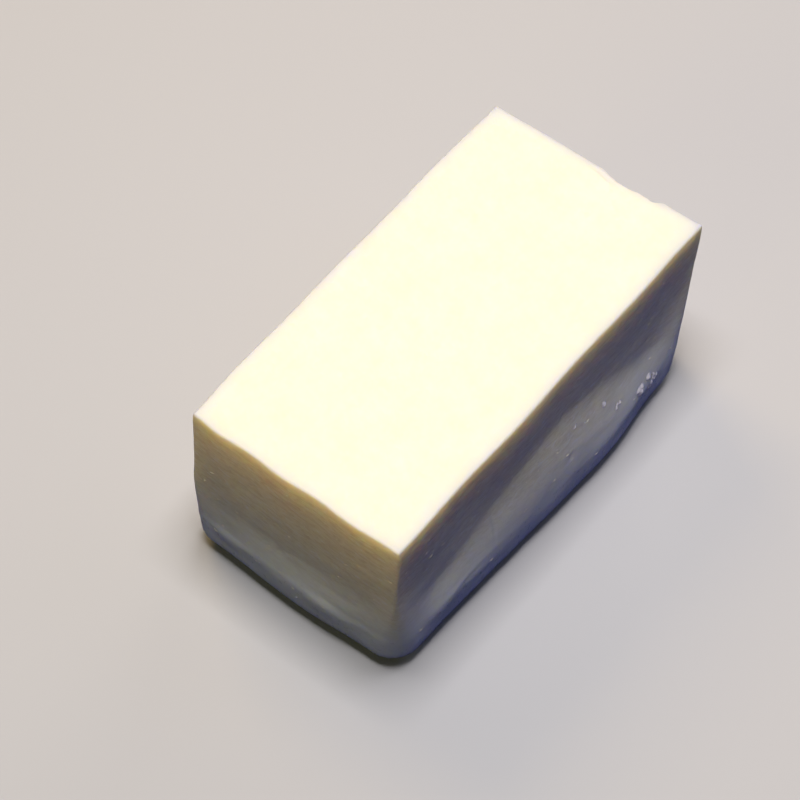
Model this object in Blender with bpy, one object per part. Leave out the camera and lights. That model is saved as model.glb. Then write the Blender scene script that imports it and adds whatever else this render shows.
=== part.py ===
"""Silken tofu block: one moulded block of soft bean curd, turned out of its tub and standing on its base.

Metres. +X runs along the long side and +Z is up. The origin lies under the middle of the block, at its base.
"""

import math
from collections import namedtuple

import bmesh
import bpy
from mathutils import Vector

MM = 0.001

# The block, measured at its top face.
LENGTH = 116.0 * MM
WIDTH = 59.7 * MM
HEIGHT = 52.8 * MM

# Rounding: nearly sharp at the cut rim, full at the foot, where the tub's floor was rounded.
RIM_ROUND = 0.5 * MM
FOOT_ROUND = 6.2 * MM
RIM_CORNER = 0.8 * MM
CORNER_KEPT = 0.4  # share of an upright corner's radius that the foot's rounding leaves

# The soft curd settles. From SLUMP_TOP of the way down and over the next SLUMP_SPAN of the height, each side
# leans out and its middle bows out. Over a similar stretch the upright corners widen to their full radius.
SLUMP_TOP = 0.38
SLUMP_SPAN = 0.50
CORNER_TOP = 0.35
CORNER_SPAN = 0.60

# A flake is missing from the rim of the +X end.
CHIP_START = 0.175
CHIP_END = 0.48
CHIP_DEPTH = 1.45 * MM
CHIP_DROP = 5.0 * MM
CHIP_LUMP = 0.12  # unevenness of the broken face, as a share of its depth

# Mesh fineness.
CORNER_STEPS = 5
LONG_STEPS = 36
SHORT_STEPS = 28
FOOT_STEPS = 6
RIM_STEPS = 2
RIM_LEVELS = 4
SIDE_LEVELS = 11

# The four sides, going anticlockwise round the block from the long side at -Y. A side's rim starts skew
# further out than its middle, and ends as much further in. Its foot stands out by lean at the ends, and by
# lean and bow at peak, a share of its length. wave, cycles and crest give the gentle waviness of its rim.
# corner is the radius of the foot's corner where the side starts.
Side = namedtuple("Side", "outward steps skew lean bow peak wave cycles crest corner")
SIDES = (
    Side(
        outward=Vector((0, -1)), steps=LONG_STEPS, skew=0.1 * MM, lean=2.1 * MM, bow=2.1 * MM, peak=0.72,
        wave=0.28 * MM, cycles=2.6, crest=0.40, corner=7.9 * MM,
    ),
    Side(
        outward=Vector((1, 0)), steps=SHORT_STEPS, skew=0.5 * MM, lean=0.2 * MM, bow=0.8 * MM, peak=0.50,
        wave=0.12 * MM, cycles=2.0, crest=0.75, corner=7.7 * MM,
    ),
    Side(
        outward=Vector((0, 1)), steps=LONG_STEPS, skew=0.3 * MM, lean=1.5 * MM, bow=1.0 * MM, peak=0.50,
        wave=0.10 * MM, cycles=3.0, crest=0.20, corner=7.5 * MM,
    ),
    Side(
        outward=Vector((-1, 0)), steps=SHORT_STEPS, skew=-0.3 * MM, lean=0.8 * MM, bow=1.0 * MM, peak=0.55,
        wave=0.24 * MM, cycles=3.0, crest=0.11, corner=5.5 * MM,
    ),
)


def smooth(value):
    """A soft step from 0 to 1."""
    value = min(max(value, 0.0), 1.0)
    return value * value * (3.0 - 2.0 * value)


def swell(along, peak):
    """A rounded hump over 0 to 1 that is greatest at peak and flat at both ends."""
    share = along / peak if along < peak else (1.0 - along) / (1.0 - peak)
    return 0.5 - 0.5 * math.cos(math.pi * share)


def chip(along, down):
    """How far the broken flake cuts into the side: a lumpy hollow that runs out below the rim."""
    across = (along - CHIP_START) / (CHIP_END - CHIP_START)
    if not 0.0 < across < 1.0:
        return 0.0
    hollow = smooth(across / 0.4) * smooth((1.0 - across) / 0.5)
    lumps = 1.0 + CHIP_LUMP * math.sin(5.0 * math.pi * across)
    return CHIP_DEPTH * hollow * lumps * smooth(1.0 - down / CHIP_DROP)


def half_extent(side):
    return (WIDTH if side.outward.x == 0 else LENGTH) / 2


def relief(side, along, height, settled):
    """How far a side stands out at one point: its bow, the waviness of its rim, and the chip."""
    down = HEIGHT - height
    ends_fade = smooth(along / 0.1) * smooth((1.0 - along) / 0.1)
    rim_fade = smooth(1.0 - down / (0.7 * HEIGHT))
    ripple = side.wave * math.cos(2.0 * math.pi * side.cycles * (along - side.crest))
    out = settled * side.bow * swell(along, side.peak) + ripple * ends_fade * rim_fade
    return out - chip(along, down) if side.outward.x > 0 else out


def outline(height, inset):
    """The block's closed outline at one height, pulled in by inset, as points going anticlockwise."""
    drop = 1.0 - height / HEIGHT
    settled = smooth((drop - SLUMP_TOP) / SLUMP_SPAN)
    radii = []
    for side in SIDES:
        upright = RIM_CORNER + (side.corner - RIM_CORNER) * smooth((drop - CORNER_TOP) / CORNER_SPAN)
        radii.append(max(upright - (1.0 - CORNER_KEPT) * inset, RIM_CORNER / 2))
    reach = [half_extent(side) + side.lean * settled - inset for side in SIDES]
    skew = [side.skew * (1.0 - settled) for side in SIDES]

    corners = []
    for k, side in enumerate(SIDES):
        before = SIDES[k - 1]
        corners.append((reach[k] + skew[k]) * side.outward + (reach[k - 1] - skew[k - 1]) * before.outward)

    points = []
    for k, side in enumerate(SIDES):
        before = SIDES[k - 1].outward
        centre = corners[k] - radii[k] * (side.outward + before)
        for step in range(CORNER_STEPS):
            turn = 0.5 * math.pi * step / CORNER_STEPS
            points.append(centre + radii[k] * (math.sin(turn) * side.outward + math.cos(turn) * before))
        start = corners[k] - radii[k] * before
        end = corners[k - 3] - radii[k - 3] * SIDES[k - 3].outward
        for step in range(side.steps):
            along = step / side.steps
            points.append(start.lerp(end, along) + relief(side, along, height, settled) * side.outward)
    return [Vector((point.x, point.y, height)) for point in points]


def profile():
    """(height, inset) of each outline: round the foot from the base, up the sides and over the rim."""
    for step in range(FOOT_STEPS + 1):
        turn = 0.5 * math.pi * step / FOOT_STEPS
        yield FOOT_ROUND * (1.0 - math.cos(turn)), FOOT_ROUND * (1.0 - math.sin(turn))
    chip_foot = HEIGHT - CHIP_DROP
    for step in range(1, SIDE_LEVELS + 1):
        yield FOOT_ROUND + (chip_foot - FOOT_ROUND) * step / SIDE_LEVELS, 0.0
    for step in range(1, RIM_LEVELS):
        yield chip_foot + (CHIP_DROP - RIM_ROUND) * step / RIM_LEVELS, 0.0
    for step in range(RIM_STEPS + 1):
        turn = 0.5 * math.pi * step / RIM_STEPS
        yield HEIGHT - RIM_ROUND * (1.0 - math.sin(turn)), RIM_ROUND * (1.0 - math.cos(turn))


def tofu_material():
    """Silken bean curd: cream white, slightly translucent, with a moist satin skin."""
    material = bpy.data.materials.new("silken_bean_curd")
    material.use_nodes = True
    shader = material.node_tree.nodes["Principled BSDF"]
    shader.inputs["Base Color"].default_value = (0.93, 0.89, 0.74, 1.0)
    shader.inputs["Roughness"].default_value = 0.38
    shader.inputs["Metallic"].default_value = 0.0
    shader.inputs["Subsurface Weight"].default_value = 1.0
    shader.inputs["Subsurface Radius"].default_value = (1.0, 0.85, 0.45)
    shader.inputs["Subsurface Scale"].default_value = 4.0 * MM
    material.diffuse_color = (0.93, 0.89, 0.74, 1.0)
    return material


def tofu_block():
    """The whole block, as outlines bridged from the base to the top and closed by two flat faces."""
    bm = bmesh.new()
    loops = []
    for height, inset in profile():
        corners = [bm.verts.new(point) for point in outline(height, inset)]
        loops.append([bm.edges.new((corners[i - 1], corner)) for i, corner in enumerate(corners)])
    for lower, upper in zip(loops, loops[1:]):
        bmesh.ops.bridge_loops(bm, edges=lower + upper)
    for end in (loops[0], loops[-1]):
        bmesh.ops.contextual_create(bm, geom=end)
    bmesh.ops.recalc_face_normals(bm, faces=bm.faces)

    # The foot stands out further on some sides than on others, so the block is centred over the origin.
    xs = [vert.co.x for vert in bm.verts]
    ys = [vert.co.y for vert in bm.verts]
    middle = Vector((min(xs) + max(xs), min(ys) + max(ys), 0.0)) / 2
    bmesh.ops.translate(bm, verts=bm.verts, vec=-middle)

    mesh = bpy.data.meshes.new("tofu_block")
    bm.to_mesh(mesh)
    bm.free()
    mesh.shade_smooth()
    mesh.set_sharp_from_angle(angle=math.radians(35))
    mesh.materials.append(tofu_material())
    block = bpy.data.objects.new("tofu_block", mesh)
    bpy.context.scene.collection.objects.link(block)
    return block


for old in list(bpy.data.objects):
    bpy.data.objects.remove(old)

tofu_block()
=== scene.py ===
"""A block of fresh silken tofu, turned out of its tub and standing on its base in soft studio light.

Metres. +X runs along the block's long side and +Z is up. The origin lies under the middle of the block.
"""

import math
import random
from collections import namedtuple

import bpy
from mathutils import Matrix, Vector, noise
from mathutils.bvhtree import BVHTree


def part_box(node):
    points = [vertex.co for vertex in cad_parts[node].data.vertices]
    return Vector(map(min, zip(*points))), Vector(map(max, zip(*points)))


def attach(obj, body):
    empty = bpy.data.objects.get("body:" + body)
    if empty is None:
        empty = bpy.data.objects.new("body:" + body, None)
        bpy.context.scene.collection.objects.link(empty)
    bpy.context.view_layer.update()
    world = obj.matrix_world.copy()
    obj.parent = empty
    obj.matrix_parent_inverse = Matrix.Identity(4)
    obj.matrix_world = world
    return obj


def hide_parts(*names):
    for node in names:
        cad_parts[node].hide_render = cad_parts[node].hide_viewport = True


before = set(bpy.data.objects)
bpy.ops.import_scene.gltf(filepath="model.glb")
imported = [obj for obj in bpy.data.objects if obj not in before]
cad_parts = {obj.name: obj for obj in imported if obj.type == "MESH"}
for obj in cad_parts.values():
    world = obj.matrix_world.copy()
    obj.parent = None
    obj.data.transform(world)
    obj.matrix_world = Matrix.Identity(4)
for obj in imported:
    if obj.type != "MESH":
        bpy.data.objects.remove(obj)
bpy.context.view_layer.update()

MM = 0.001
UP = Vector((0, 0, 1))

# --------------------------------------------------------------------------------------------------
# The block. Soy milk sets in its tub to one fine, soft curd. Turned out, it keeps a sharp rim at the
# top, sags under its own weight lower down, and stands on the round edge that the tub's floor gave it.

block_low, block_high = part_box("tofu_block")
block_middle = (block_low + block_high) / 2
HEIGHT = block_high.z - block_low.z
LONG_TOP = 116.0 * MM
SHORT_TOP = 59.7 * MM
RIM_ROUND = 0.4 * MM
FOOT_ROUND = 6.2 * MM
RIM_CORNER = 0.6 * MM
CORNER_KEPT = 0.4  # share of an upright corner's radius that the foot's rounding leaves
CORNER_END = 0.95  # drop where the radius is full. A drop is a share of the height, from the top.
SLUMP_END = 0.88  # drop where the corners have leaned out in full
SAG_END = 0.82  # drop where the middle of each side has leaned and bowed out in full
SAG_LIFT = 0.05  # how much higher the sag lies next to the corners
SAG_ENDS = 0.14  # share of a side, next to each corner, that leans with the corner
RIM_DROP = 0.42  # drop where the rim's own overhang has run out
SKEW_DROP = 0.55  # drop where its skew has run out
RIPPLE_DROP = 0.7  # drop where its waviness has run out
RIDGE_DROP = 0.775  # drop of the low fold above the foot
RIDGE_ABOVE = 0.045  # its steep upper side and its slack lower side, as shares of the height
RIDGE_BELOW = 0.090
RIDGE_WANDER = 0.014
RIDGE_DEPTH = 0.36 * MM
RIDGE_LUMP = 7.0 * MM
RIDGE_APART = Vector((5.5, 0, 0))  # takes the pattern of its lumps away from that of its wander
RIDGE_EVEN = 0.8  # share of its depth between its lumps, and how much more or less they add
RIDGE_UNEVEN = 0.9
RIDGE_ENDS = 0.10  # share of a side, next to each corner, over which the ridge dies down
RIDGE_AT_END = 0.3  # share of its depth that is left at the corners
SHOULDER_DEPTH = 0.16 * MM  # the wall rounds in a little towards the rim
SHOULDER_DROP = 3.2 * MM

# The four sides, anticlockwise from the long side at -Y. The rim overhangs by rim, and by belly more in
# its middle. It starts skew further out and ends as much further in, with cycles of gentle waves, one
# of them highest at crest. From the drop slump the foot leans out by lean. It starts turn further out
# and ends as much further in. In the middle it also bows out, most at peak, from the drop fold, or
# higher by arch at crown. ridge is the share of the low fold that the side's middle keeps. corner is
# the foot's radius where the side starts, and that corner is sharp down to the drop sharp.
Side = namedtuple("Side", [
    "outward", "steps", "rim", "belly", "skew", "wave", "cycles", "crest", "slump", "lean", "turn",
    "bow", "peak", "fold", "arch", "crown", "ridge", "corner", "sharp",
])
LONG_STEPS = 210
SHORT_STEPS = 106
CORNER_STEPS = 6
SIDES = (
    Side(
        outward=Vector((0, -1, 0)), steps=LONG_STEPS, rim=0.72 * MM, belly=0.0, skew=0.08 * MM,
        wave=0.20 * MM, cycles=2.6, crest=0.38, slump=0.38, lean=2.1 * MM, turn=-0.35 * MM,
        bow=2.1 * MM, peak=0.72, fold=0.67, arch=0.29, crown=0.54, ridge=0.1, corner=7.9 * MM,
        sharp=0.35,
    ),
    Side(
        outward=Vector((1, 0, 0)), steps=SHORT_STEPS, rim=0.48 * MM, belly=-0.1 * MM,
        skew=0.45 * MM, wave=0.12 * MM, cycles=2.0, crest=0.75, slump=0.38, lean=0.2 * MM,
        turn=0.0, bow=0.8 * MM, peak=0.50, fold=0.62, arch=0.12, crown=0.45, ridge=0.6,
        corner=12.6 * MM, sharp=0.36,
    ),
    Side(
        outward=Vector((0, 1, 0)), steps=LONG_STEPS, rim=0.10 * MM, belly=0.42 * MM, skew=0.3 * MM,
        wave=0.10 * MM, cycles=3.0, crest=0.20, slump=0.30, lean=1.5 * MM, turn=0.0, bow=1.0 * MM,
        peak=0.50, fold=0.64, arch=0.20, crown=0.40, ridge=0.4, corner=7.5 * MM, sharp=0.35,
    ),
    Side(
        outward=Vector((-1, 0, 0)), steps=SHORT_STEPS, rim=-0.10 * MM, belly=0.30 * MM,
        skew=-0.3 * MM, wave=0.24 * MM, cycles=3.0, crest=0.11, slump=0.38, lean=0.8 * MM,
        turn=-0.3 * MM, bow=1.0 * MM, peak=0.55, fold=0.58, arch=0.02, crown=0.50, ridge=1.0,
        corner=6.0 * MM, sharp=0.42,
    ),
)
NEAR_SIDE = SIDES[0]
CHIPPED_SIDE = SIDES[1]
TORN_SIDE = SIDES[2]
PLAIN_SIDE = SIDES[3]

# The rim of the +X end lost a flake when the tub came off. Past it, a split runs on inside the rim.
CHIP_START = 0.17
CHIP_END = 0.48
CHIP_DEPTH = 1.38 * MM
CHIP_DROP = 5.0 * MM
CHIP_LUMP = 0.06  # unevenness of its edge, as a share of its depth
CHIP_LUMPS = 2.0  # waves of that unevenness along it, and where in a wave it starts
CHIP_PHASE = 0.6
CHIP_NEAR = 0.16  # share of its length over which it deepens, and over which it runs out
CHIP_FAR = 0.3
BREAK_SIZE = 1.6 * MM  # the lumps of the broken face
BREAK_DEPTH = 0.22 * MM
SPLIT_START = 0.34
SPLIT_END = 0.62
SPLIT_IN = 1.5 * MM
SPLIT_WIDTH = 0.9 * MM
SPLIT_DEPTH = 0.40 * MM
SPLIT_PEAK = 0.35  # share of its length where it is deepest
SPLIT_WANDER = 0.4 * MM
SPLIT_BEND = 3.0 * MM

# The skin: the size of each kind of lump and how far it stands out.
SWELL_SIZE = 19.0 * MM
SWELL_DEPTH = 0.24 * MM
LUMP_SIZE = 6.5 * MM
LUMP_DEPTH = 0.12 * MM
GRAIN_SIZE = 2.3 * MM
GRAIN_DEPTH = 0.05 * MM
TOP_KEPT = 0.3  # the top set level and the edges are crisp, so they keep this share of the unevenness
RIM_CRISP = 9.0 * MM
CORNER_CRISP = 12.0 * MM
STREAK_SLOPE = math.radians(-4)  # the tub's wall dragged round the sides at this slope as it came away
STREAK_LENGTH = 13.0 * MM
STREAK_SIZE = 2.0 * MM
STREAK_DEPTH = 0.07 * MM
TOOTH_SIZE = 1.2 * MM  # fine teeth where the rim tore along the tub's lip
TOOTH_DEPTH = 0.32 * MM
TOOTH_DROP = 1.8 * MM
TOOTH_OTHERS = 0.4  # share of that depth on the three rims that came away clean

# Small marks: pits left by bubbles, a hairline crack in the near side, and a welt low on that side
# where the settling curd lapped over itself.
SIDE_PITS = 9
SIDE_PITS_ALONG = (0.06, 0.94)
SIDE_PITS_DOWN = (5.0 * MM, 42.0 * MM)
TOP_PITS = 8
TOP_PITS_REACH = 0.45  # how near to the rim they come, as a share of the top's length and width
PIT_SIZES = (0.9 * MM, 1.7 * MM)
PIT_DEPTH = 0.16  # as a share of the pit's size
CRACK_ALONG = 0.30
CRACK_TOP = 26.0 * MM
CRACK_FOOT = 39.0 * MM
CRACK_WANDER = 0.5 * MM
CRACK_BEND = 2.2 * MM
CRACK_WIDTH = 0.8 * MM
CRACK_DEPTH = 0.20 * MM
WELT_START = 0.09
WELT_END = 0.27
WELT_DOWN = 39.0 * MM
WELT_RISE = 2.0 * MM  # how much it rises along its length
WELT_WIDTH = 1.1 * MM
WELT_DEPTH = 0.26 * MM


def smooth(value):
    """A soft step from 0 to 1."""
    value = min(max(value, 0.0), 1.0)
    return value * value * (3.0 - 2.0 * value)


def swell(along, peak):
    """A rounded hump over 0 to 1 that is greatest at peak and flat at both ends."""
    share = along / peak if along < peak else (1.0 - along) / (1.0 - peak)
    return 0.5 - 0.5 * math.cos(math.pi * share)


def dome(share):
    """A round bump, 1 in the middle and 0 from a share of 1 outwards."""
    return max(0.0, 1.0 - share * share) ** 2


def settled(side, drop):
    """How far the ends of a side have leaned out at this drop: 0 in the upper part, 1 at the foot."""
    return smooth((drop - side.slump) / (SLUMP_END - side.slump))


def sagged(side, along, drop):
    """How far a side's curd has sagged. In the middle this starts higher, under a crisp arched edge."""
    hump = swell(along, side.crown)
    start = side.fold - side.arch * hump - SAG_LIFT * (1.0 - hump)
    end = SAG_END - SAG_LIFT * (1.0 - hump)
    share = max(0.0, (drop - start) / (end - start))
    return smooth(share ** (1.0 - side.arch * hump))


def ridge(point, side, along, drop):
    """The low fold above the foot, stronger here and there, that the settling curd pushed out."""
    below = drop - RIDGE_DROP - RIDGE_WANDER * noise.noise(point / RIDGE_LUMP)
    across = below / (RIDGE_ABOVE if below < 0.0 else RIDGE_BELOW)
    near_end = smooth(along / RIDGE_ENDS) * smooth((1.0 - along) / RIDGE_ENDS)
    share = side.ridge + (1.0 - side.ridge) * (1.0 - swell(along, 0.5)) ** 2
    share *= RIDGE_AT_END + (1.0 - RIDGE_AT_END) * near_end
    uneven = RIDGE_EVEN + RIDGE_UNEVEN * noise.noise(point / RIDGE_LUMP + RIDGE_APART)
    return RIDGE_DEPTH * share * uneven * dome(across)


def flake(along):
    """The missing flake along its rim: 0 outside it, and up to about 1 within."""
    across = (along - CHIP_START) / (CHIP_END - CHIP_START)
    if not 0.0 < across < 1.0:
        return 0.0
    lumps = 1.0 + CHIP_LUMP * math.sin(2.0 * math.pi * CHIP_LUMPS * across + CHIP_PHASE)
    return smooth(across / CHIP_NEAR) * smooth((1.0 - across) / CHIP_FAR) * lumps


def stand_out(side, along, drop):
    """How far a side stands out of its straight line: the sag, the rim's waves and the lost flake."""
    near_end = smooth(along / SAG_ENDS) * smooth((1.0 - along) / SAG_ENDS)
    sag = sagged(side, along, drop)
    out = side.bow * sag * swell(along, side.peak) + side.lean * (sag - settled(side, drop)) * near_end
    ripple = side.belly + side.wave * math.cos(2.0 * math.pi * side.cycles * (along - side.crest))
    out += ripple * near_end * smooth(1.0 - drop / RIPPLE_DROP)
    if side is CHIPPED_SIDE:
        out -= CHIP_DEPTH * flake(along) * smooth(1.0 - drop * HEIGHT / CHIP_DROP)
    return out


def half_extent(side):
    """How far the rim of a side is from the middle of the block."""
    return (SHORT_TOP if side.outward.x == 0 else LONG_TOP) / 2


def outline(height, inset):
    """The block's outline at one height: (point, outward direction, side, along), anticlockwise."""
    drop = 1.0 - height / HEIGHT
    radii = []
    reach = []
    skew = []
    for side in SIDES:
        widened = smooth((drop - side.sharp) / (CORNER_END - side.sharp))
        upright = RIM_CORNER + (side.corner - RIM_CORNER) * widened
        radii.append(max(upright - (1.0 - CORNER_KEPT) * inset, RIM_CORNER / 2))
        overhang = side.rim * smooth(1.0 - drop / RIM_DROP)
        spread = settled(side, drop)
        reach.append(half_extent(side) + overhang + side.lean * spread - inset)
        skew.append(side.skew * smooth(1.0 - drop / SKEW_DROP) + side.turn * spread)
    corners = []
    for k, side in enumerate(SIDES):
        before = SIDES[k - 1]
        from_side = (reach[k] + skew[k]) * side.outward
        corners.append(from_side + (reach[k - 1] - skew[k - 1]) * before.outward)

    around = []
    for k, side in enumerate(SIDES):
        before = SIDES[k - 1]
        centre = corners[k] - radii[k] * (side.outward + before.outward)
        for step in range(CORNER_STEPS):
            turn = 0.5 * math.pi * step / CORNER_STEPS
            out = math.sin(turn) * side.outward + math.cos(turn) * before.outward
            around.append((centre + radii[k] * out + height * UP, out, side, 0.0))
        start = corners[k] - radii[k] * before.outward
        end = corners[k - 3] - radii[k - 3] * SIDES[k - 3].outward
        for step in range(side.steps):
            along = step / side.steps
            point = start.lerp(end, along) + stand_out(side, along, drop) * side.outward
            around.append((point + height * UP, side.outward, side, along))
    return around


def grain(point, size, place):
    """Smooth unevenness from about -1 to 1 with lumps of one size. place picks the pattern."""
    return noise.noise(point / size + Vector((place, 1.7 * place, -place)))


def skin(point, facing_up):
    """How far the skin stands out of the block's form at one point."""
    out = SWELL_DEPTH * grain(point, SWELL_SIZE, 3.1)
    out += LUMP_DEPTH * grain(point, LUMP_SIZE, 7.9)
    out += GRAIN_DEPTH * grain(point, GRAIN_SIZE, 12.4)
    around = point.x - point.y
    run = around * math.cos(STREAK_SLOPE) + point.z * math.sin(STREAK_SLOPE)
    across = point.z * math.cos(STREAK_SLOPE) - around * math.sin(STREAK_SLOPE)
    drag = noise.noise(Vector((run / STREAK_LENGTH, across / STREAK_SIZE, 0.0)))
    out += STREAK_DEPTH * drag * (1.0 - facing_up)
    near_rim = smooth(1.0 - (HEIGHT - point.z) / RIM_CRISP)
    corner_gap = math.hypot(abs(point.x) - LONG_TOP / 2, abs(point.y) - SHORT_TOP / 2)
    near_corner = smooth(1.0 - corner_gap / CORNER_CRISP)
    kept = 1.0 - (1.0 - TOP_KEPT) * max(facing_up, near_rim, near_corner)
    return out * kept * smooth(point.z / FOOT_ROUND)


def drawn_in(point, side):
    """How far the wall is drawn in near the rim: its round shoulder, and fine teeth where it tore."""
    down = HEIGHT - point.z
    shoulder = SHOULDER_DEPTH * max(0.0, 1.0 - down / SHOULDER_DROP) ** 2
    share = 1.0 if side is TORN_SIDE else TOOTH_OTHERS
    teeth = TOOTH_DEPTH * smooth(1.0 - down / TOOTH_DROP) * max(0.0, grain(point, TOOTH_SIZE, 4.2))
    return shoulder + share * teeth


def split(point):
    """How far the top has dropped at the split beside the missing flake."""
    along = point.y / SHORT_TOP + 0.5
    across = (along - SPLIT_START) / (SPLIT_END - SPLIT_START)
    if not 0.0 < across < 1.0:
        return 0.0
    inland = LONG_TOP / 2 - point.x - CHIP_DEPTH * flake(along)
    wander = SPLIT_WANDER * grain(point, SPLIT_BEND, 21.0)
    furrow = dome((inland - SPLIT_IN - wander) / SPLIT_WIDTH)
    below = smooth(1.0 - (HEIGHT - point.z) / CHIP_DROP)
    return SPLIT_DEPTH * swell(across, SPLIT_PEAK) * furrow * below


def side_length(side):
    """How long a side is at its rim."""
    return SHORT_TOP if side.outward.y == 0 else LONG_TOP


luck = random.Random(41)
side_pits = []
for side in SIDES:
    pits = []
    for number in range(round(SIDE_PITS * side_length(side) / LONG_TOP)):
        across = luck.uniform(*SIDE_PITS_ALONG) * side_length(side)
        down = luck.uniform(*SIDE_PITS_DOWN)
        pits.append((across, down, luck.uniform(*PIT_SIZES)))
    side_pits.append(pits)
top_pits = []
for number in range(TOP_PITS):
    across = luck.uniform(-TOP_PITS_REACH, TOP_PITS_REACH) * LONG_TOP
    down = luck.uniform(-TOP_PITS_REACH, TOP_PITS_REACH) * SHORT_TOP
    top_pits.append((across, down, luck.uniform(*PIT_SIZES)))


def pitted(pits, across, down):
    """How deep the pits are at one place, given by its distances along and down a face."""
    depth = 0.0
    for pit_across, pit_down, size in pits:
        away = math.hypot(across - pit_across, down - pit_down)
        if away < size:
            depth += PIT_DEPTH * size * dome(away / size)
    return depth


def near_marks(along, down):
    """How far the crack and the welt of the near side stand out at one place on it."""
    if CRACK_TOP < down < CRACK_FOOT:
        ends = swell((down - CRACK_TOP) / (CRACK_FOOT - CRACK_TOP), 0.5)
        middle = CRACK_ALONG * LONG_TOP + CRACK_WANDER * math.sin(down / CRACK_BEND)
        crack = CRACK_DEPTH * ends * dome((along * LONG_TOP - middle) / CRACK_WIDTH)
    else:
        crack = 0.0
    across = (along - WELT_START) / (WELT_END - WELT_START)
    if not 0.0 < across < 1.0:
        return -crack
    welt = dome((down - WELT_DOWN - WELT_RISE * (0.5 - across)) / WELT_WIDTH)
    return WELT_DEPTH * swell(across, 0.5) * welt - crack


FOOT_LEVELS = 11
SIDE_LEVELS = 96
RIM_LEVELS = 4
CROWDING = 0.35  # how much closer together the side's levels are towards the rim


def levels():
    """(height, inset, tilt) of each outline from the base to the top. tilt is how far it faces up."""
    for step in range(FOOT_LEVELS):
        turn = 0.5 * math.pi * step / FOOT_LEVELS
        height = FOOT_ROUND * (1.0 - math.cos(turn))
        yield height, FOOT_ROUND * (1.0 - math.sin(turn)), turn - 0.5 * math.pi
    for step in range(SIDE_LEVELS):
        share = step / SIDE_LEVELS
        share += 0.5 * CROWDING * share * (1.0 - share)
        yield FOOT_ROUND + (HEIGHT - RIM_ROUND - FOOT_ROUND) * share, 0.0, 0.0
    for step in range(RIM_LEVELS + 1):
        turn = 0.5 * math.pi * step / RIM_LEVELS
        height = HEIGHT - RIM_ROUND * (1.0 - math.sin(turn))
        yield height, RIM_ROUND * (1.0 - math.cos(turn)), turn


def top_rows(rim):
    """The inner points of the top, row by row: a grid stretched between the four sides of its rim."""
    spans = [side.steps + CORNER_STEPS for side in SIDES]
    starts = [CORNER_STEPS // 2 + sum(spans[:k]) for k in range(4)]
    near, right, far, left = (
        [rim[(starts[k] + i) % len(rim)] for i in range(spans[k] + 1)] for k in range(4)
    )
    far = far[::-1]
    left = left[::-1]
    for j in range(1, spans[1]):
        v = j / spans[1]
        row = []
        for i in range(1, spans[0]):
            u = i / spans[0]
            flat = near[0].lerp(near[-1], u).lerp(far[0].lerp(far[-1], u), v)
            row.append(near[i].lerp(far[i], v) + left[j].lerp(right[j], u) - flat)
        yield row


def marks(point, side, along, down):
    """How far the small marks of a side stand out at one place on it."""
    out = -pitted(side_pits[SIDES.index(side)], along * side_length(side), down)
    if side is NEAR_SIDE:
        out += near_marks(along, down)
    if side is CHIPPED_SIDE:
        broken = flake(along) * smooth(1.0 - down / CHIP_DROP)
        out += BREAK_DEPTH * grain(point, BREAK_SIZE, 30.0) * broken
    return out


def curd_mesh():
    """The block's skin: outlines from the base up to the rim, a grid over the top, and a flat base."""
    points = []
    rings = []
    for height, inset, tilt in levels():
        down = HEIGHT - height
        ring = []
        for point, out, side, along in outline(height, inset):
            point = point + (ridge(point, side, along, down / HEIGHT) - drawn_in(point, side)) * out
            ring.append(len(points))
            if height < HEIGHT:
                facing = math.cos(tilt) * out + math.sin(tilt) * UP
                off = skin(point, max(0.0, math.sin(tilt))) + marks(point, side, along, down)
                point = point + off * facing - split(point) * UP
            points.append(point)
        rings.append(ring)
    faces = [tuple(reversed(rings[0]))]
    count = len(rings[0])
    for lower, upper in zip(rings, rings[1:]):
        for i in range(count):
            j = (i + 1) % count
            faces.append((lower[i], lower[j], upper[j], upper[i]))

    rim = rings[-1]
    rows = []
    for row in top_rows([points[i] for i in rim]):
        rows.append(list(range(len(points), len(points) + len(row))))
        points.extend(row)
    for i in rim + [i for row in rows for i in row]:
        point = points[i]
        off = skin(point, 1.0) - pitted(top_pits, point.x, point.y) - split(point)
        points[i] = point + off * UP

    half = CORNER_STEPS // 2
    wide = LONG_STEPS + CORNER_STEPS
    deep = SHORT_STEPS + CORNER_STEPS
    around = rim[half:] + rim[:half]
    grid = [around[:wide + 1]]
    for j, row in enumerate(rows, start=1):
        grid.append([around[-j]] + row + [around[wide + j]])
    grid.append(around[wide + deep:2 * wide + deep + 1][::-1])
    for lower, upper in zip(grid, grid[1:]):
        for i in range(wide):
            faces.append((lower[i], lower[i + 1], upper[i + 1], upper[i]))

    mesh = bpy.data.meshes.new("tofu_body")
    xs = [point.x for point in points]
    ys = [point.y for point in points]
    centre = Vector((min(xs) + max(xs), min(ys) + max(ys), 0.0)) / 2
    shift = Vector((block_middle.x, block_middle.y, block_low.z)) - centre
    mesh.from_pydata([point + shift for point in points], [], faces)
    mesh.validate()
    mesh.update()
    return mesh


def linear(colour):
    """An sRGB hex colour as linear red, green, blue and alpha."""
    parts = [int(colour[i:i + 2], 16) / 255 for i in (1, 3, 5)]
    lit = [p / 12.92 if p <= 0.04045 else ((p + 0.055) / 1.055) ** 2.4 for p in parts]
    return (*lit, 1.0)


def add_node(tree, kind, inputs=None, **settings):
    """Adds a node with its settings. Each input takes a value, or another node's output to link."""
    node = tree.nodes.new(kind)
    for name, value in settings.items():
        setattr(node, name, value)
    for name, value in (inputs or {}).items():
        if isinstance(value, bpy.types.NodeSocket):
            tree.links.new(value, node.inputs[name])
        else:
            node.inputs[name].default_value = value
    return node


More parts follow.
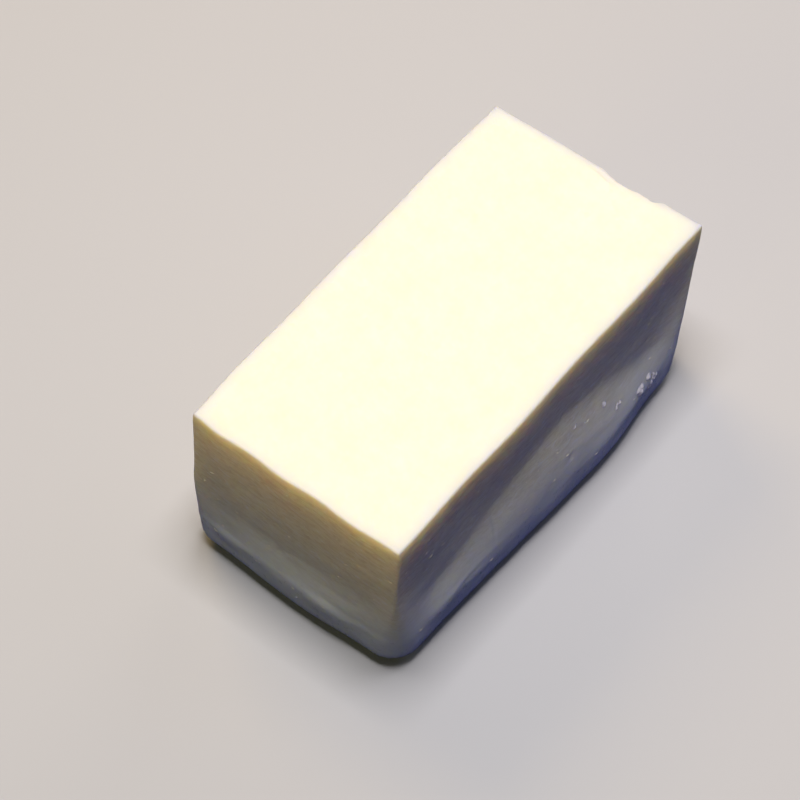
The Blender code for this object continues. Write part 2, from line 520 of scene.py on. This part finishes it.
def silken_curd():
    """Silken bean curd, set smooth and wet. Light enters it and bleeds out warm through its edges, with
    a warm glow painted just under the rim. The film of water on it gives a soft satin gloss that is
    sharper near the wet foot."""
    material = bpy.data.materials.new("silken_bean_curd")
    material.use_nodes = True
    tree = material.node_tree
    shader = tree.nodes["Principled BSDF"]
    place = add_node(tree, "ShaderNodeTexCoord").outputs["Object"]
    in_mm = add_node(
        tree, "ShaderNodeVectorMath", {0: place, 1: (1 / MM, 1 / MM, 1 / MM)}, operation="MULTIPLY",
    ).outputs["Vector"]

    # Cloudy patches about 9 mm across, where the curd set a little denser.
    cloud = add_node(
        tree, "ShaderNodeTexNoise",
        {"Vector": in_mm, "Scale": 1 / 9.0, "Detail": 3.0, "Roughness": 0.6},
    ).outputs["Fac"]
    cream = add_node(
        tree, "ShaderNodeMix",
        {"Factor": cloud, 6: linear("#F5EFD5"), 7: linear("#FDF8E4")}, data_type="RGBA",
    ).outputs[2]

    # Drag streaks about 3.4 mm long and 0.9 mm wide that run round the sides, duller where the skin was
    #     rubbed thin, with paler flecks along them. The top was never touched, and has none.
    place_in_mm = add_node(tree, "ShaderNodeSeparateXYZ", {"Vector": in_mm}).outputs
    height = place_in_mm["Z"]
    around = add_node(
        tree, "ShaderNodeMath", {0: place_in_mm["X"], 1: place_in_mm["Y"]}, operation="SUBTRACT",
    ).outputs["Value"]
    unrolled = add_node(tree, "ShaderNodeCombineXYZ", {"X": around, "Y": height}).outputs["Vector"]
    dragged = add_node(
        tree, "ShaderNodeMapping",
        {"Vector": unrolled, "Rotation": (0.0, 0.0, STREAK_SLOPE), "Scale": (3.4, 0.9, 1.0)},
        vector_type="TEXTURE",
    ).outputs["Vector"]
    streaks = add_node(
        tree, "ShaderNodeTexNoise",
        {"Vector": dragged, "Scale": 1.0, "Detail": 3.0, "Roughness": 0.55, "Distortion": 1.0},
    ).outputs["Fac"]
    top_height = HEIGHT / MM
    on_side = add_node(
        tree, "ShaderNodeMapRange",
        {
            "Value": height, "From Min": top_height - 2.4, "From Max": top_height - 0.6,
            "To Min": 1.0, "To Max": 0.0,
        },
    ).outputs["Result"]
    dull = add_node(
        tree, "ShaderNodeMapRange",
        {"Value": streaks, "From Min": 0.55, "From Max": 0.33, "To Max": 0.9},
    ).outputs["Result"]
    dull_side = add_node(
        tree, "ShaderNodeMath", {0: dull, 1: on_side}, operation="MULTIPLY",
    ).outputs["Value"]
    rubbed = add_node(
        tree, "ShaderNodeMix",
        {"Factor": dull_side, 6: cream, 7: linear("#E8E0C7")}, data_type="RGBA",
    ).outputs[2]
    fleck = add_node(
        tree, "ShaderNodeMapRange",
        {"Value": streaks, "From Min": 0.59, "From Max": 0.70, "To Max": 0.9},
    ).outputs["Result"]
    fleck_side = add_node(
        tree, "ShaderNodeMath", {0: fleck, 1: on_side}, operation="MULTIPLY",
    ).outputs["Value"]
    paler = add_node(
        tree, "ShaderNodeMix",
        {"Factor": fleck_side, 6: rubbed, 7: linear("#FFFEF8")}, data_type="RGBA",
    ).outputs[2]

    # Towards the foot a cool reflection is painted into the colour, so the cream turns greyer and cooler
    # lower down.
    painted_cool_foot = add_node(
        tree, "ShaderNodeMapRange",
        {"Value": height, "From Min": 30.0, "From Max": 12.0, "To Min": 0.0, "To Max": 0.90},
    ).outputs["Result"]
    # Painted reflection: a cool grey-white mixed in low on the sides.
    lower = add_node(
        tree, "ShaderNodeMix", {"Factor": painted_cool_foot, 6: paler, 7: linear("#EBEFEC")}, data_type="RGBA",
    ).outputs[2]

    # A warm glow is painted into the colour just under the rim, where light comes out through the thin
    # edge and is warmest.
    below_rim = add_node(
        tree, "ShaderNodeMapRange",
        {
            "Value": height, "From Min": top_height - 3.4, "From Max": top_height - 1.2,
            "To Min": 0.0, "To Max": 1.0,
        },
    ).outputs["Result"]
    under_top = add_node(
        tree, "ShaderNodeMapRange",
        {
            "Value": height, "From Min": top_height - 0.5, "From Max": top_height - 0.2,
            "To Min": 1.0, "To Max": 0.0,
        },
    ).outputs["Result"]
    rim_glow_mask = add_node(
        tree, "ShaderNodeMath", {0: below_rim, 1: under_top}, operation="MULTIPLY",
    ).outputs["Value"]
    # Painted glow: the cream turns warmer under the rim.
    painted_rim_glow = add_node(
        tree, "ShaderNodeMix", {"Factor": rim_glow_mask, 6: lower, 7: linear("#F6E9D4")}, data_type="RGBA",
    ).outputs[2]
    tree.links.new(painted_rim_glow, shader.inputs["Base Color"])

    # The water film breaks up into patches about 1.6 mm across, and lies thicker towards the foot.
    wet = add_node(
        tree, "ShaderNodeMapRange",
        {"Value": height, "From Min": 12.0, "From Max": 30.0, "To Min": 0.14, "To Max": 0.0},
    ).outputs["Result"]
    patches = add_node(
        tree, "ShaderNodeTexNoise",
        {"Vector": in_mm, "Scale": 1 / 1.6, "Detail": 2.0, "Roughness": 0.6},
    ).outputs["Fac"]
    satin = add_node(
        tree, "ShaderNodeMapRange", {"Value": patches, "To Min": 0.34, "To Max": 0.54},
    ).outputs["Result"]
    gloss = add_node(
        tree, "ShaderNodeMath", {0: satin, 1: wet}, operation="SUBTRACT",
    ).outputs["Value"]
    tree.links.new(gloss, shader.inputs["Roughness"])

    # The curd's own grain is finer than 0.1 mm. It is drawn at 0.7 mm, so that it shows.
    fine = add_node(
        tree, "ShaderNodeTexNoise",
        {"Vector": in_mm, "Scale": 1 / 0.7, "Detail": 2.0, "Roughness": 0.5},
    ).outputs["Fac"]
    drag_bump = add_node(
        tree, "ShaderNodeBump", {"Height": streaks, "Strength": 0.5, "Distance": 0.12 * MM},
    ).outputs["Normal"]
    bump = add_node(
        tree, "ShaderNodeBump",
        {"Height": fine, "Strength": 0.5, "Distance": 0.05 * MM, "Normal": drag_bump},
    ).outputs["Normal"]
    tree.links.new(bump, shader.inputs["Normal"])

    shader.inputs["IOR"].default_value = 1.38
    shader.inputs["Subsurface Weight"].default_value = 1.0
    shader.inputs["Subsurface Radius"].default_value = (1.0, 0.88, 0.47)
    shader.inputs["Subsurface Scale"].default_value = 6.2 * MM
    shader.inputs["Coat Weight"].default_value = 0.35
    shader.inputs["Coat Roughness"].default_value = 0.14
    shader.inputs["Coat IOR"].default_value = 1.34
    return material


body = bpy.data.objects.new("tofu_body", curd_mesh())
bpy.context.scene.collection.objects.link(body)
body.data.shade_smooth()
body.data.materials.append(silken_curd())
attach(body, "root")
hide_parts("tofu_block")

# --------------------------------------------------------------------------------------------------
# The whey. Fresh curd weeps a little of its thin water. It stands on the wet sides in small beads,
# which run together and catch the light low on the near side, with a few single ones elsewhere.

BEAD_STRETCH = (1.2, 2.2)
BEAD_LEAN = (-75.0, -35.0)  # degrees from upright that a bead has run to
WALL_REACH = 90.0 * MM  # how far outside the block a bead is aimed at it from
STAND = 0.64  # how far a drop stands out, as a share of half its width
SUNK = 0.06  # how deep its edge is set in, as such a share
HANG = 0.35  # how far its thickest part hangs below its middle, as such a share
DROP_SIDES = 14
DROP_RINGS = 6

# Groups of beads: the side, the range along it, the range of distances down from the rim, the range of
# half their width, and how many.
Group = namedtuple("Group", "side along down sizes count")
SMALL = (0.20 * MM, 0.45 * MM)
MIDDLING = (0.35 * MM, 0.55 * MM)
LARGE = (0.60 * MM, 0.95 * MM)
BEADS = (
    Group(NEAR_SIDE, (0.794, 0.838), (38.0 * MM, 39.6 * MM), LARGE, 6),
    Group(NEAR_SIDE, (0.828, 0.862), (40.6 * MM, 42.2 * MM), SMALL, 8),
    Group(NEAR_SIDE, (0.850, 0.878), (38.6 * MM, 40.6 * MM), SMALL, 5),
    Group(NEAR_SIDE, (0.674, 0.694), (29.4 * MM, 31.4 * MM), MIDDLING, 3),
    Group(NEAR_SIDE, (0.715, 0.730), (33.8 * MM, 35.0 * MM), MIDDLING, 3),
    Group(NEAR_SIDE, (0.900, 0.930), (16.0 * MM, 18.0 * MM), SMALL, 2),
    Group(NEAR_SIDE, (0.560, 0.620), (26.0 * MM, 30.0 * MM), SMALL, 2),
    Group(CHIPPED_SIDE, (0.550, 0.700), (37.0 * MM, 43.0 * MM), SMALL, 6),
    Group(TORN_SIDE, (0.220, 0.300), (38.0 * MM, 43.0 * MM), SMALL, 7),
    Group(TORN_SIDE, (0.600, 0.720), (32.0 * MM, 40.0 * MM), SMALL, 4),
    Group(PLAIN_SIDE, (0.200, 0.800), (40.0 * MM, 45.0 * MM), SMALL, 2),
)


def drops_on(name, groups, stretch, leans, seed):
    """Small drops on the walls, as one mesh. Each is a low dome that hangs a little from its middle."""
    wall = BVHTree.FromObject(body, bpy.context.evaluated_depsgraph_get())
    chance = random.Random(seed)
    points = []
    faces = []
    for group in groups:
        run = UP.cross(group.side.outward)
        for number in range(group.count):
            along = chance.uniform(*group.along)
            down = chance.uniform(*group.down)
            half_width = chance.uniform(*group.sizes)
            half_length = half_width * chance.uniform(*stretch)
            lean = math.radians(chance.uniform(*leans))
            aim = (along - 0.5) * side_length(group.side) * run + (HEIGHT - down) * UP
            away = WALL_REACH * group.side.outward
            foot, facing = wall.ray_cast(aim + away, -group.side.outward)[:2]
            uphill = (UP - UP.dot(facing) * facing).normalized()
            tall = Matrix.Rotation(lean, 3, facing) @ uphill
            broad = tall.cross(facing)
            first = len(points)
            for ring in range(DROP_RINGS):
                reach = 1.0 - ring / DROP_RINGS
                swelling = dome(reach)
                rise = half_width * ((STAND * swelling - SUNK) * facing - HANG * swelling * uphill)
                for step in range(DROP_SIDES):
                    turn = 2.0 * math.pi * step / DROP_SIDES
                    off = half_length * math.sin(turn) * tall + half_width * math.cos(turn) * broad
                    points.append(foot + reach * off + rise)
            points.append(foot + half_width * ((STAND - SUNK) * facing - HANG * uphill))
            starts = [first + ring * DROP_SIDES for ring in range(DROP_RINGS)]
            rings = [list(range(start, start + DROP_SIDES)) for start in starts]
            faces.append(tuple(rings[0]))
            for lower, upper in zip(rings, rings[1:]):
                for i in range(DROP_SIDES):
                    faces.append((lower[i - 1], upper[i - 1], upper[i], lower[i]))
            for i in range(DROP_SIDES):
                faces.append((rings[-1][i - 1], len(points) - 1, rings[-1][i]))
    mesh = bpy.data.meshes.new(name)
    mesh.from_pydata(points, [], faces)
    mesh.validate()
    mesh.update()
    mesh.shade_smooth()
    return mesh


def whey():
    """Whey, water with a little milk in it: a milky white with a faint cool tint that is a painted
    reflection, whose skin catches small glints.
    """
    material = bpy.data.materials.new("milky_whey_painted_cool_tint")
    material.use_nodes = True
    tree = material.node_tree
    shader = tree.nodes["Principled BSDF"]
    place = add_node(tree, "ShaderNodeTexCoord").outputs["Object"]

    # Each bead's skin is uneven on the scale of 0.5 mm where it clings to the curd.
    ripple = add_node(
        tree, "ShaderNodeTexNoise", {"Vector": place, "Scale": 1 / (0.5 * MM), "Detail": 1.0},
    ).outputs["Fac"]
    bump = add_node(tree, "ShaderNodeBump", {"Height": ripple, "Strength": 0.3, "Distance": 0.04 * MM})
    tree.links.new(bump.outputs["Normal"], shader.inputs["Normal"])
    # The faint cool tint of this white is a painted reflection of cool light.
    shader.inputs["Base Color"].default_value = linear("#F0EEF8")
    shader.inputs["Transmission Weight"].default_value = 0.1
    shader.inputs["Roughness"].default_value = 0.15
    shader.inputs["IOR"].default_value = 1.34
    return material


beads_mesh = drops_on("whey_beads", BEADS, BEAD_STRETCH, BEAD_LEAN, 7)
beads = bpy.data.objects.new("whey_beads", beads_mesh)
bpy.context.scene.collection.objects.link(beads)
beads.data.materials.append(whey())
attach(beads, "root")

# --------------------------------------------------------------------------------------------------
# The crumbs. Where the tub's wall dragged, it rubbed up tiny crumbs of curd. They stick to the sides,
# drawn out along the drag, and their upper edges catch the light as pale flecks.

CRUMB_STRETCH = (1.5, 5.0)
CRUMB_LEAN = (80.0, 95.0)  # nearly level, as the wall dragged them
TINY = (0.09 * MM, 0.22 * MM)
CRUMBS = (
    Group(NEAR_SIDE, (0.03, 0.97), (4.0 * MM, 42.0 * MM), TINY, 60),
    Group(CHIPPED_SIDE, (0.03, 0.97), (4.0 * MM, 42.0 * MM), TINY, 36),
    Group(TORN_SIDE, (0.03, 0.97), (4.0 * MM, 42.0 * MM), TINY, 70),
    Group(PLAIN_SIDE, (0.03, 0.97), (3.0 * MM, 24.0 * MM), TINY, 40),
    Group(PLAIN_SIDE, (0.03, 0.97), (24.0 * MM, 43.0 * MM), TINY, 16),
)


def rubbed_curd():
    """Crumbs of bean curd: the block's own cream, paler and duller, as they have dried a little."""
    material = bpy.data.materials.new("rubbed_bean_curd")
    material.use_nodes = True
    tree = material.node_tree
    shader = tree.nodes["Principled BSDF"]
    place = add_node(tree, "ShaderNodeTexCoord").outputs["Object"]

    # Each crumb differs a little from the next, over about 3 mm.
    cloud = add_node(
        tree, "ShaderNodeTexNoise", {"Vector": place, "Scale": 1 / (3.0 * MM)},
    ).outputs["Fac"]
    cream = add_node(
        tree, "ShaderNodeMix",
        {"Factor": cloud, 6: linear("#EFE8D2"), 7: linear("#FBF8EC")}, data_type="RGBA",
    ).outputs[2]
    tree.links.new(cream, shader.inputs["Base Color"])
    shader.inputs["Roughness"].default_value = 0.5
    shader.inputs["IOR"].default_value = 1.38
    return material


crumbs_mesh = drops_on("curd_crumbs", CRUMBS, CRUMB_STRETCH, CRUMB_LEAN, 11)
crumbs = bpy.data.objects.new("curd_crumbs", crumbs_mesh)
bpy.context.scene.collection.objects.link(crumbs)
crumbs.data.materials.append(rubbed_curd())
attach(crumbs, "root")

# --------------------------------------------------------------------------------------------------
# The table. A pale matt board to stand on. Light that bounces between it and the block passes through
# it to two dark cards just below, out of the camera's sight. They keep the board's light off the sides,
# as a dark dish would, and the smaller, blue one tints the foot.

SHEET_SIDES = 96
BOARD_RADIUS = 3.0
BLUE_CARD_RADIUS = 0.11
BLACK_CARD_RADIUS = 0.6


def sheet_of(name, radius, height, colour, roughness):
    """A thin round sheet that lies flat. It is matt paper: one even tone, with no gloss."""
    turns = [2.0 * math.pi * i / SHEET_SIDES for i in range(SHEET_SIDES)]
    rim = [(radius * math.cos(turn), radius * math.sin(turn), height) for turn in turns]
    mesh = bpy.data.meshes.new(name)
    mesh.from_pydata(rim, [], [tuple(range(SHEET_SIDES))])
    material = bpy.data.materials.new("matt_paper")
    material.use_nodes = True
    shader = material.node_tree.nodes["Principled BSDF"]
    shader.inputs["Base Color"].default_value = linear(colour)
    shader.inputs["Roughness"].default_value = roughness
    mesh.materials.append(material)
    sheet = bpy.data.objects.new(name, mesh)
    bpy.context.scene.collection.objects.link(sheet)
    return sheet


board = sheet_of("board", BOARD_RADIUS, 0.0, "#C3C4C4", 0.8)
board.visible_diffuse = False
board.visible_glossy = False
board.visible_shadow = False
sheet_of("blue_card", BLUE_CARD_RADIUS, -0.4 * MM, "#2E3870", 0.9)
sheet_of("black_card", BLACK_CARD_RADIUS, -0.8 * MM, "#14161C", 0.9)

# --------------------------------------------------------------------------------------------------
# The light. A large soft overhead, a warm key from behind, soft fills at both ends, a weak cool one over
# the near side's +X corner, and a small warm lamp that brings out the glow under the rim of the -X end.


def softbox(name, azimuth, elevation, distance, size, watts, colour):
    """A square soft lamp that faces the block. Azimuth is in degrees, 0 at +Y and 90 at +X."""
    lamp = bpy.data.lights.new(name, "AREA")
    lamp.shape = "SQUARE"
    lamp.size = size
    lamp.energy = watts
    lamp.color = linear(colour)[:3]
    round_about = math.radians(azimuth)
    up = math.radians(elevation)
    away = Vector((
        math.sin(round_about) * math.cos(up), math.cos(round_about) * math.cos(up), math.sin(up),
    ))
    stand = bpy.data.objects.new(name, lamp)
    stand.location = block_middle + distance * away
    stand.rotation_euler = away.to_track_quat("Z", "Y").to_euler()
    bpy.context.scene.collection.objects.link(stand)


softbox("overhead", azimuth=0, elevation=90, distance=1.0, size=0.4, watts=9.7, colour="#FDF8FC")
softbox("key", azimuth=20, elevation=45, distance=1.1, size=0.45, watts=3.2, colour="#FFDB9C")
softbox("end_fill", azimuth=-90, elevation=25, distance=1.0, size=0.5, watts=0.75, colour="#F9F4A0")
softbox("far_fill", azimuth=78, elevation=22, distance=1.0, size=0.5, watts=1.6, colour="#FFF4E4")
softbox("side_fill", azimuth=130, elevation=48, distance=0.42, size=0.25, watts=0.20, colour="#B6BAD6")

GLOW_SIZE = (0.25, 0.05)
GLOW_WATTS = 0.018
GLOW_SPREAD = math.radians(64)
GLOW_PLACE = (-0.160, 0.0, 0.085)
glow = bpy.data.lights.new("end_glow", "AREA")
glow.shape = "RECTANGLE"
glow.size, glow.size_y = GLOW_SIZE
glow.energy = GLOW_WATTS
glow.spread = GLOW_SPREAD
glow.color = linear("#FFCE90")[:3]
glow_stand = bpy.data.objects.new("end_glow", glow)
glow_stand.location = GLOW_PLACE
glow_stand.rotation_euler = Vector((-1, 0, 0)).to_track_quat("Z", "Y").to_euler()
bpy.context.scene.collection.objects.link(glow_stand)

world = bpy.data.worlds.new("room")
world.use_nodes = True
room_light = world.node_tree.nodes["Background"]
room_light.inputs["Color"].default_value = linear("#C9CEDA")
room_light.inputs["Strength"].default_value = 0.01
bpy.context.scene.world = world
bpy.context.scene.view_settings.view_transform = "Standard"

# The camera looks down on the corner between the -X end and the -Y side.
AZIMUTH = math.radians(-52.83)
ELEVATION = math.radians(55.32)
ROLL = math.radians(0.96)
DISTANCE = 808.3 * MM
AIM_LEFT = 11.67 * MM
AIM_DOWN = 3.01 * MM
back = Vector((
    math.sin(AZIMUTH) * math.cos(ELEVATION),
    -math.cos(AZIMUTH) * math.cos(ELEVATION),
    math.sin(ELEVATION),
))
turn = Matrix.Rotation(ROLL, 3, back)
right = turn @ Vector((math.cos(AZIMUTH), math.sin(AZIMUTH), 0))
upward = back.cross(right)
aim = block_middle - AIM_LEFT * right - AIM_DOWN * upward
eye = bpy.data.cameras.new("camera")
eye.lens = 153.0
eye.sensor_width = 36.0
eye.clip_start = 0.05
camera = bpy.data.objects.new("camera", eye)
frame_axes = Matrix((right, upward, back)).transposed().to_4x4()
camera.matrix_world = Matrix.Translation(aim + DISTANCE * back) @ frame_axes
bpy.context.scene.collection.objects.link(camera)
bpy.context.scene.camera = camera
